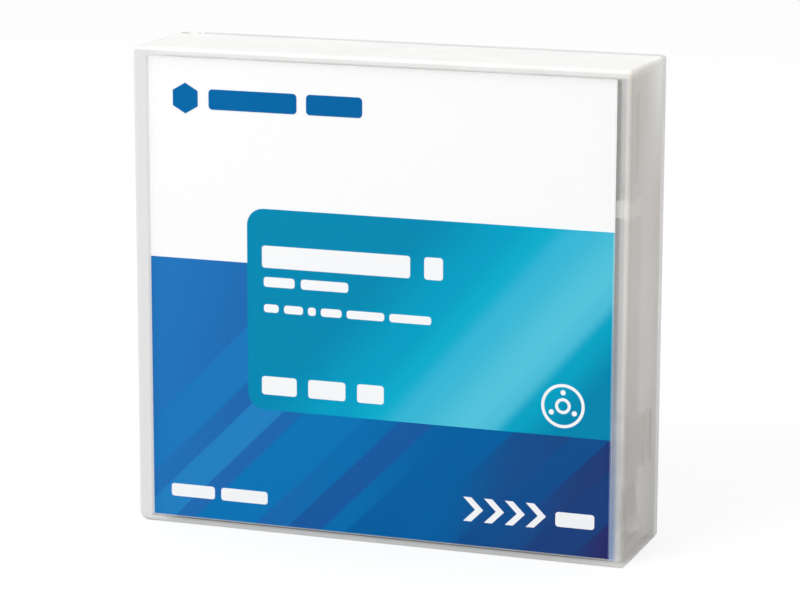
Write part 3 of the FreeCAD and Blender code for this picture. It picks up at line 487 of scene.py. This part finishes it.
# A hexagon and two bars as the heading, in millimetres.
MARK_X, MARK_Z, MARK_REACH = -46.3, 99.5, 3.5
HEADING_LOW, HEADING_HIGH = 97.2, 101.8
corner_angles = [math.radians(degrees) for degrees in range(30, 390, 60)]
hexagon = [(MARK_X + MARK_REACH * math.cos(a), MARK_Z + MARK_REACH * math.sin(a)) for a in corner_angles]
blue_ink = gradient_ink("blue_line_ink", 1.0, 0.0, [(-50.0, "#006AAB"), (-4.0, "#0066A6")])
heading = joined("card_heading", [
    printed("mark", [(x * MM, z * MM) for x, z in hexagon], 4, blue_ink),
    printed("heading_1", bar(-40.6, -19.4, HEADING_LOW, HEADING_HIGH), 4, blue_ink, HEADING_CORNER),
    printed("heading_2", bar(-17.1, -3.8, HEADING_LOW, HEADING_HIGH), 4, blue_ink, HEADING_CORNER),
])

# A small sign of a reel: its rim, its hub and three dots, in millimetres.
SIGN_X, SIGN_Z = 43.4, 35.6
DOT_CIRCLE = 3.05
sign = [
    printed_ring("rim", SIGN_X, SIGN_Z, 4.3, 5.0, 4, bare_white),
    printed_ring("hub", SIGN_X, SIGN_Z, 1.1, 1.8, 4, bare_white),
]
for i in range(3):
    angle = math.radians(90 + 120 * i)
    x, z = SIGN_X + DOT_CIRCLE * math.cos(angle), SIGN_Z + DOT_CIRCLE * math.sin(angle)
    sign.append(printed_ring(f"dot_{i}", x, z, 0.02, 0.6, 4, bare_white))
sign = joined("card_reel_sign", sign)

for piece in [field, panel, bars, heading, sign] + ribbons:
    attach(piece, "cover")


# ---- Cartridge shell ---------------------------------------------------------------------------------
# Two halves moulded in black polycarbonate, with four screws that go in from the lower half, at the back of
# the case. The mould was spark eroded, so the outside is matt with a fine even grain.
def spark_eroded_plastic(name, colour, lighter, grain_mm=0.35):
    """Engineering plastic from a spark-eroded mould: matt, with a fine grain drawn a little coarse."""
    material, tree, shader, place = start_material(name)
    grain = grains(tree, place, grain_mm, detail=3.0)
    tree.links.new(tinted(tree, between(tree, grain, 0.0, 1.0), colour, lighter), shader.inputs["Base Color"])
    tree.links.new(between(tree, grain, 0.46, 0.62), shader.inputs["Roughness"])
    bump = add(tree, "Bump", {}, {"Height": grain, "Strength": 0.25, "Distance": 0.05 * MM})
    tree.links.new(bump.outputs["Normal"], shader.inputs["Normal"])
    shader.inputs["IOR"].default_value = 1.58
    return material


black_polycarbonate = spark_eroded_plastic("black_polycarbonate", "#26282B", "#303236")
for node in ("shell_bottom", "shell_top"):
    dress(node, black_polycarbonate)
dress("access_door", spark_eroded_plastic("black_acetal", "#2E3033", "#36383C", grain_mm=0.5))
dress("write_protect_slider", spark_eroded_plastic("red_acetal", "#B3261E", "#BF3026", grain_mm=0.5))


# ---- Steel pieces ------------------------------------------------------------------------------------
# Zinc-plated screws, a ground leader pin, a stamped clip, the hub's magnetic ring, and two springs that
# are wound from round wire and pressed together by the door and by the brake.
SCREW_HEAD = 1.2 * MM        # height of a screw's head
RECESS = 0.75 * MM           # depth of its six-lobe recess
LOBE = 0.07                  # how far the lobes reach in and out, as a share of the head's radius
WIRE_STEPS = 20              # straight runs in each turn of a spring


def bright_steel(name, colour, roughness, marks_mm):
    """Plain steel with fine marks of its making, which show as a slightly uneven shine."""
    material, tree, shader, place = start_material(name)
    marks = grains(tree, place, marks_mm, detail=3.0)
    shader.inputs["Base Color"].default_value = linear(colour)
    shader.inputs["Metallic"].default_value = 1.0
    tree.links.new(between(tree, marks, roughness - 0.06, roughness + 0.08), shader.inputs["Roughness"])
    return material


def turned_screw(mesh, low, high):
    """A pan-head screw about an axis along Y, head to the back, in the box of its CAD solid."""
    x, z = (low.x + high.x) / 2, (low.z + high.z) / 2
    head, shank = (high.x - low.x) / 2, (high.x - low.x) / 4
    face, seat, tip = high.y, high.y - SCREW_HEAD, low.y
    lobe = LOBE * head
    rings = [                                            # radius, place along the axis, depth of the lobes
        (0.30 * head, face - RECESS, 0.0),               # floor of the recess
        (0.44 * head, face - RECESS + 0.05 * MM, lobe),
        (0.46 * head, face - 0.08 * MM, lobe),
        (0.56 * head, face, 0.0),                        # crown of the head
        (0.88 * head, face - 0.06 * MM, 0.0),
        (head, face - 0.30 * MM, 0.0),
        (head, seat, 0.0),
        (shank, seat, 0.0),
        (shank, tip + 0.6 * MM, 0.0),                    # tapered end
        (0.4 * shank, tip, 0.0),
    ]
    stand = Matrix.Translation((x, 0, z)) @ Matrix.Rotation(math.radians(90), 4, "X")
    loop = set(bmesh.ops.create_circle(mesh, segments=48, radius=head, matrix=stand)["verts"])
    for number, (radius, height, lobe_depth) in enumerate(rings):
        if number:
            edges = [e for e in mesh.edges if e.verts[0] in loop and e.verts[1] in loop]
            grown = bmesh.ops.extrude_edge_only(mesh, edges=edges)["geom"]
            loop = {g for g in grown if isinstance(g, bmesh.types.BMVert)}
        for v in loop:
            angle = math.atan2(v.co.z - z, v.co.x - x)
            reach = radius + lobe_depth * math.cos(6 * angle)
            v.co = (x + reach * math.cos(angle), height, z + reach * math.sin(angle))


def wire_spring(name, node, axis, wire, turns, material):
    """Round wire wound along an axis in the box of a CAD spring, with its first and last turns closed."""
    low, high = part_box(node)
    along, across = Vector((0, 0, 0)), Vector((1, 0, 0))
    along[axis] = 1.0
    length = high[axis] - low[axis] - wire
    start = (low + high) / 2 - along * length / 2
    reach = (high.x - low.x) / 2 - wire / 2
    stand = along.cross(across).to_track_quat("Z", "Y").to_matrix().to_4x4()
    mesh = bmesh.new()
    bmesh.ops.create_circle(mesh, segments=8, radius=wire / 2,
                            matrix=Matrix.Translation(start + across * reach) @ stand)
    loop = mesh.verts[:] + mesh.edges[:]
    for count, rise in ((1, wire), (turns - 2, length - 2 * wire), (1, wire)):
        steps = WIRE_STEPS * count
        loop = bmesh.ops.spin(mesh, geom=loop, cent=start, axis=along, dvec=along * (rise / steps),
                              angle=math.tau * count, steps=steps, use_merge=False)["geom_last"]
    bmesh.ops.holes_fill(mesh, edges=[e for e in mesh.edges if e.is_boundary], sides=0)
    return keep(name, mesh, material, smooth=True)


zinc_plate = bright_steel("zinc_plated_steel", "#C2C4C6", roughness=0.34, marks_mm=0.3)
hub_low, hub_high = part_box("reel_hub")
hub = (hub_low + hub_high) / 2
mesh = bmesh.new()                       # the CAD node holds all four screws, one towards each corner
for at_right in (False, True):
    for above in (False, True):
        corner = [v.co for v in nodes["shell_screws"].data.vertices
                  if (v.co.x > hub.x) == at_right and (v.co.z > hub.z) == above]
        turned_screw(mesh, Vector([min(c[i] for c in corner) for i in range(3)]),
                     Vector([max(c[i] for c in corner) for i in range(3)]))
bmesh.ops.holes_fill(mesh, edges=[e for e in mesh.edges if e.is_boundary], sides=0)
screws = keep("six_lobe_screws", mesh, zinc_plate)
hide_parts("shell_screws")
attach(screws, "case_back")

# Springs: CAD node, axis, wire, turns, the joint of the piece that presses them, and which end stays (0 low,
# 1 high).
SPRINGS = [
    ("door_spring", 2, 0.3 * MM, 12, "door_slide", 1),
    ("brake_spring", 1, 0.7 * MM, 4, "brake_lift", 0),
]
spring_wire = bright_steel("spring_wire", "#B9BABD", roughness=0.3, marks_mm=0.2)
for node, axis, wire, turns, joint, fixed_end in SPRINGS:
    piece = wire_spring(node + "_wire", node, axis, wire, turns, spring_wire)
    low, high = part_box(node)
    fixed = (low + high) / 2
    fixed[axis] = (low, high)[fixed_end][axis]
    along = Vector((0, 0, 0))
    along[axis] = 1.0
    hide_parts(node)
    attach(piece, "case_back")
    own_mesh(piece)

dress("leader_pin", bright_steel("ground_steel", "#C9CACC", roughness=0.22, marks_mm=0.2))
dress("pin_clip", bright_steel("stamped_spring_steel", "#BDBEC0", roughness=0.3, marks_mm=0.3))
dress("reel_plate", bright_steel("stamped_magnetic_steel", "#B5B6B8", roughness=0.36, marks_mm=0.4))


# ---- Reel and tape -----------------------------------------------------------------------------------
# The hub with its lower flange and the welded upper flange are moulded in light grey plastic. The wound
# tape's edge shows its turns as fine rings.
TURN_SPACING = 0.5           # millimetres. Real turns are 0.006 apart: drawn coarser, as bands of winding
hub_plastic = spark_eroded_plastic("light_grey_hub_plastic", "#C9CAC8", "#D0D1CF", grain_mm=0.4)
flange_plastic = spark_eroded_plastic("light_grey_flange_plastic", "#CBCCCA", "#D2D3D1", grain_mm=0.4)
dress("reel_hub", hub_plastic)
dress("reel_flange", flange_plastic)


def wound_tape(name):
    """Coated polyester tape wound tight: dark brown, with smooth rings about the reel's axis."""
    material, tree, shader, place = start_material(name)
    low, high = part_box("tape_pack")
    middle = (low + high) / 2
    centred = add(tree, "Mapping", {}, {"Vector": place, "Location": -middle}).outputs[0]
    axes = add(tree, "SeparateXYZ", {}, {"Vector": centred}).outputs
    flat = add(tree, "CombineXYZ", {}, {"X": axes["X"], "Z": axes["Z"]}).outputs[0]
    radius = add(tree, "VectorMath", {"operation": "LENGTH"}, {0: flat}).outputs["Value"]
    outward = add(tree, "CombineXYZ", {}, {"X": radius}).outputs[0]
    bands = grains(tree, outward, TURN_SPACING)
    browns = tinted(tree, between(tree, bands, 0.0, 1.0), "#2A211D", "#3A2E28")
    tree.links.new(browns, shader.inputs["Base Color"])
    tree.links.new(between(tree, bands, 0.25, 0.45), shader.inputs["Roughness"])
    return material


tape = wound_tape("wound_coated_tape")
dress("tape_pack", tape)
dress("tape_lead_in", tape)


# ---- Brake, sleeve and memory card -------------------------------------------------------------------
# The brake, its release plate and the pin's sleeve are moulded in natural acetal, an off-white plastic that
# slides well. The memory is a small glass-epoxy card, coated green.
natural_acetal = spark_eroded_plastic("natural_acetal", "#DCDCD6", "#E3E3DE", grain_mm=0.6)
for node in ("brake_button", "release_plate", "pin_sleeve"):
    dress(node, natural_acetal)
dress("memory_chip", spark_eroded_plastic("green_solder_mask", "#1F5A38", "#276644", grain_mm=0.3))


# ---- Floor, light and camera -------------------------------------------------------------------------
# A plain white table in a white room: a wide soft lamp over the left shoulder, and weaker ones above and at
# the right. The eye is a little above the case and to its right.
FLOOR_REACH = 6.0            # from the middle of the table to its edges
FLOOR_GAP = 0.05 * MM        # keeps the table's face out of the plane of the case's lower faces
FLOOR_GLOW = 1.03            # whiteness of the table as it is seen
FLOOR_GLOW_SHARE = 0.72      # the rest is lit, so that it shows the object's shadow
ROOM_LIGHT = 0.62            # strength of the room's light on the object
ROOM_SEEN = 1.0              # whiteness of the room as it is seen


def shows_white(tree):
    """One where the camera looks at a surface, or at its mirror image in metal, or through glass."""
    path = add(tree, "LightPath").outputs
    seen = add(tree, "Math", {"operation": "MAXIMUM"}, {0: path["Is Camera Ray"], 1: path["Is Glossy Ray"]})
    seen = add(tree, "Math", {"operation": "MAXIMUM"}, {0: seen.outputs[0], 1: path["Is Transmission Ray"]})
    return seen.outputs[0]


# The table is greyer to the light that it throws on the object than to the eye. It glows only where no
# clear wall stands before it, so that the walls keep their shade.
table, tree, shader, _ = start_material("white_table")
seen = shows_white(tree)
walls_before = add(tree, "LightPath").outputs["Transparent Depth"]
unveiled = add(tree, "Math", {"operation": "LESS_THAN"}, {0: walls_before, 1: 0.5}).outputs[0]
tree.links.new(tinted(tree, seen, "#A4A4A4", "#FFFFFF"), shader.inputs["Base Color"])
shader.inputs["Roughness"].default_value = 0.9
shader.inputs["Specular IOR Level"].default_value = 0.1
glow = add(tree, "Emission", {}, {"Color": (1, 1, 1, 1), "Strength": FLOOR_GLOW})
glowing = times(tree, seen, unveiled, FLOOR_GLOW_SHARE)
mixed = add(tree, "MixShader", {}, {"Fac": glowing, 1: shader.outputs[0], 2: glow.outputs[0]})
tree.links.new(mixed.outputs[0], tree.nodes["Material Output"].inputs["Surface"])
mesh = bmesh.new()
bmesh.ops.create_grid(mesh, x_segments=1, y_segments=1, size=FLOOR_REACH,
                      matrix=Matrix.Translation((0, 0, cad_low.z - FLOOR_GAP)))
floor = keep("floor", mesh, table)

scene = bpy.context.scene
world = bpy.data.worlds.new("room")
world.use_nodes = True
room = world.node_tree
ambient = room.nodes["Background"]
ambient.inputs["Color"].default_value = (1.0, 1.0, 1.0, 1.0)
room.links.new(moved(room, shows_white(room), ROOM_LIGHT, ROOM_SEEN), ambient.inputs["Strength"])
scene.world = world


def lamp(name, place, target, size, watts):
    """A square soft lamp that faces a point. Places and size are in metres."""
    data = bpy.data.lights.new(name, "AREA")
    data.size = size
    data.energy = watts
    light = bpy.data.objects.new(name, data)
    light.location = place
    light.rotation_euler = (Vector(target) - Vector(place)).to_track_quat("-Z", "Y").to_euler()
    scene.collection.objects.link(light)


middle = (Vector(cad_low) + Vector(cad_high)) / 2
lamp("key_lamp", (-0.9, -1.3, 0.9), middle, size=1.2, watts=20.4)
lamp("top_lamp", (0.0, 0.2, 1.4), middle, size=1.0, watts=3.0)
lamp("right_lamp", (1.5, -0.2, 1.3), middle, size=0.8, watts=4.8)

AZIMUTH = 19.44              # degrees to the right of the case's front
ELEVATION = 12.19
ROLL = 0.145
EYE = Vector((237.53, -670.57, 207.51)) * MM
camera_data = bpy.data.cameras.new("camera")
camera_data.sensor_width = 36.0
camera_data.lens = 144.02
camera_data.clip_start = 10 * MM
camera = bpy.data.objects.new("camera", camera_data)
turn = Matrix.Rotation(math.radians(AZIMUTH), 4, "Z")
tilt = Matrix.Rotation(math.radians(90 - ELEVATION), 4, "X")
roll = Matrix.Rotation(math.radians(ROLL), 4, "Z")
camera.matrix_world = Matrix.Translation(EYE) @ turn @ tilt @ roll
scene.collection.objects.link(camera)
scene.camera = camera
scene.view_settings.view_transform = "Standard"
